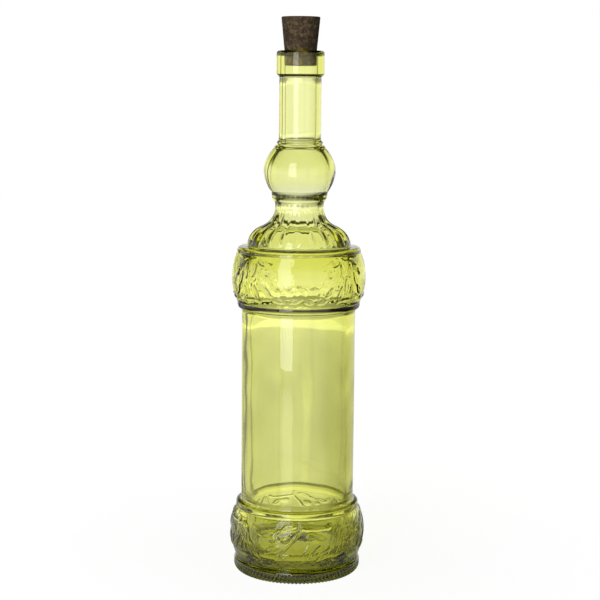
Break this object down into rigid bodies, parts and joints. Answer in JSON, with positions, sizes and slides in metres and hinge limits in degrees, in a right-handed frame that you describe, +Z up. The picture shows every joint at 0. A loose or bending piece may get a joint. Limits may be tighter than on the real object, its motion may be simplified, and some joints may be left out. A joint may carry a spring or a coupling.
{
  "type": "oil bottle",
  "caption": "Tall hollow green glass oil bottle with bulging banded ends, fluted shoulder, ball under the neck and a tapered cork stopper.",
  "frame": {"origin": "centre of the ring that the bottle stands on", "axes": "+Z up along the bottle's axis, towards the cork"},
  "size_m": [0.0804, 0.0804, 0.3242],
  "materials": {
    "tinted_glass": "fire-polished, yellow-green",
    "cork": "agglomerated cork, matt"
  },
  "bodies": {
    "root": {"glass_bottle": "tinted_glass", "cork_stopper": "cork"}
  },
  "joints": []
}
